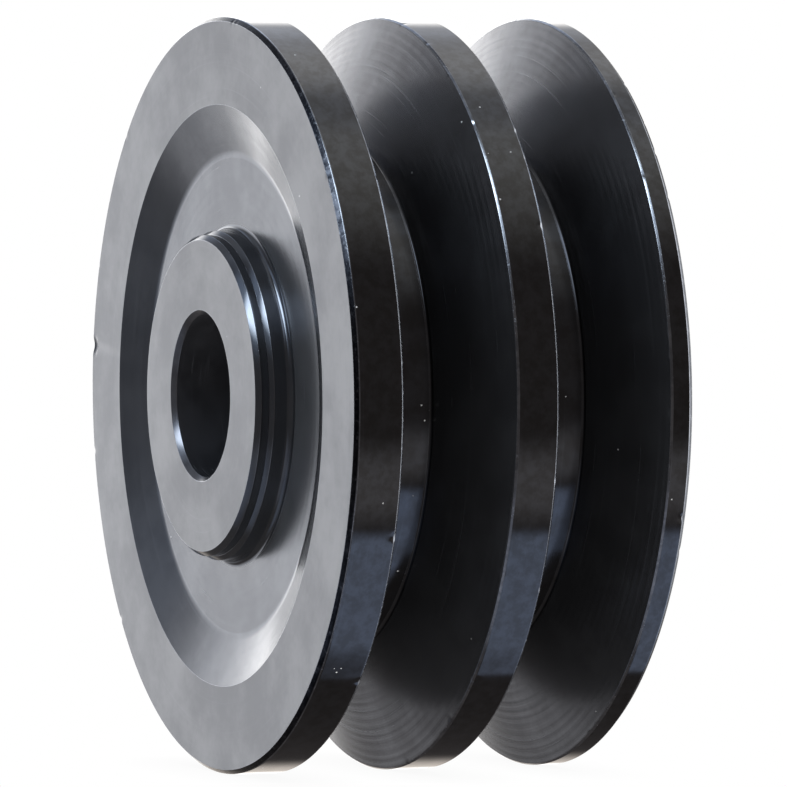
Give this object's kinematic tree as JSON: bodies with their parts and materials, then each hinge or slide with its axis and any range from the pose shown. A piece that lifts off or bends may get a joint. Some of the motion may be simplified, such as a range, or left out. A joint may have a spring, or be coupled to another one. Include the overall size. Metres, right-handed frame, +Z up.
{
  "type": "v belt pulley",
  "caption": "V-belt pulley with flat-topped rims between its belt grooves, a dished front face and a stepped hub with a plain shaft bore, in black-oxide steel.",
  "frame": {"origin": "on the shaft axis, at the middle of the middle rim", "axes": "+Y along the shaft axis towards the rear face, so the dished front face and the hub look towards -Y; +Z up"},
  "size_m": [0.0794, 0.0391, 0.0794],
  "materials": {
    "flange_steel": "black oxide over turned steel, satin, with concentric turning marks",
    "ring_steel": "black oxide over turned steel, satin",
    "bush_steel": "black oxide over fine-turned steel, satin face and smoother bore"
  },
  "bodies": {
    "root": {"hub_bush": "bush_steel", "front_flange": "flange_steel", "front_groove_ring": "ring_steel", "middle_flange": "flange_steel", "rear_groove_ring": "ring_steel", "rear_flange": "flange_steel"}
  },
  "joints": []
}
